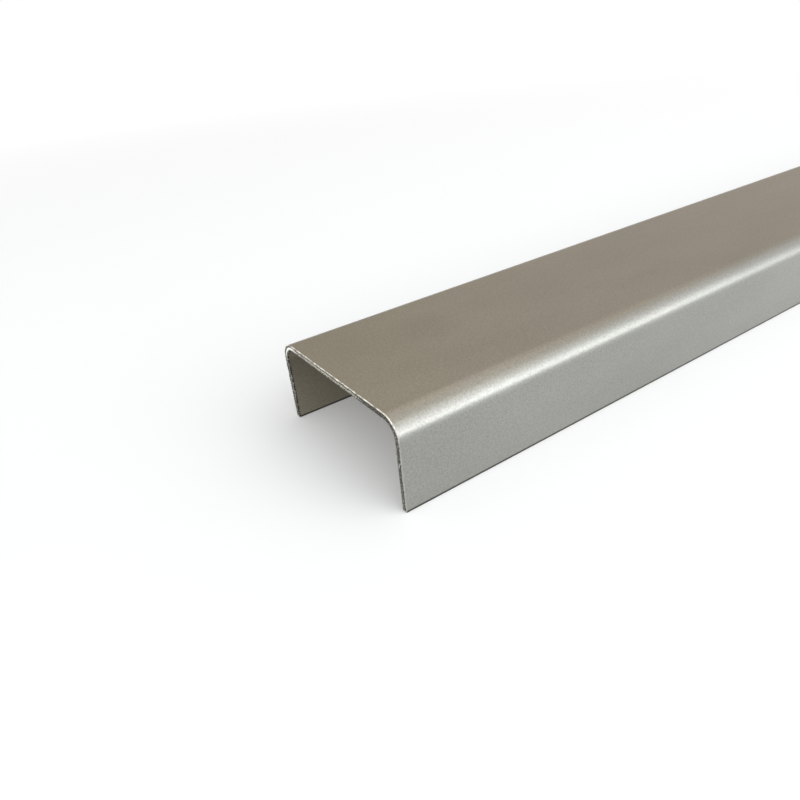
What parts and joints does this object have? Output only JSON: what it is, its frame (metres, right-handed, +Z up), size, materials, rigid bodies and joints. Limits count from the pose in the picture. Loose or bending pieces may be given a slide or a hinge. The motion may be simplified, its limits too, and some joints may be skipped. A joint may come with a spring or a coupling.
{
  "type": "stainless steel u-channel",
  "caption": "Straight length of folded stainless steel sheet with a flat web and equal short legs at right angles, used as edging, guide track, trim or light framing.",
  "frame": {"origin": "centre of the channel's footprint, midway along it and midway between the legs, at the level of the legs' lips", "axes": "+Y along the channel's length, +X across its width, +Z up out of the web's outer face, with the legs pointing down"},
  "size_m": [0.0508, 0.6096, 0.0222],
  "materials": {
    "stainless": "satin"
  },
  "bodies": {
    "root": {"u_channel": "stainless"}
  },
  "joints": []
}
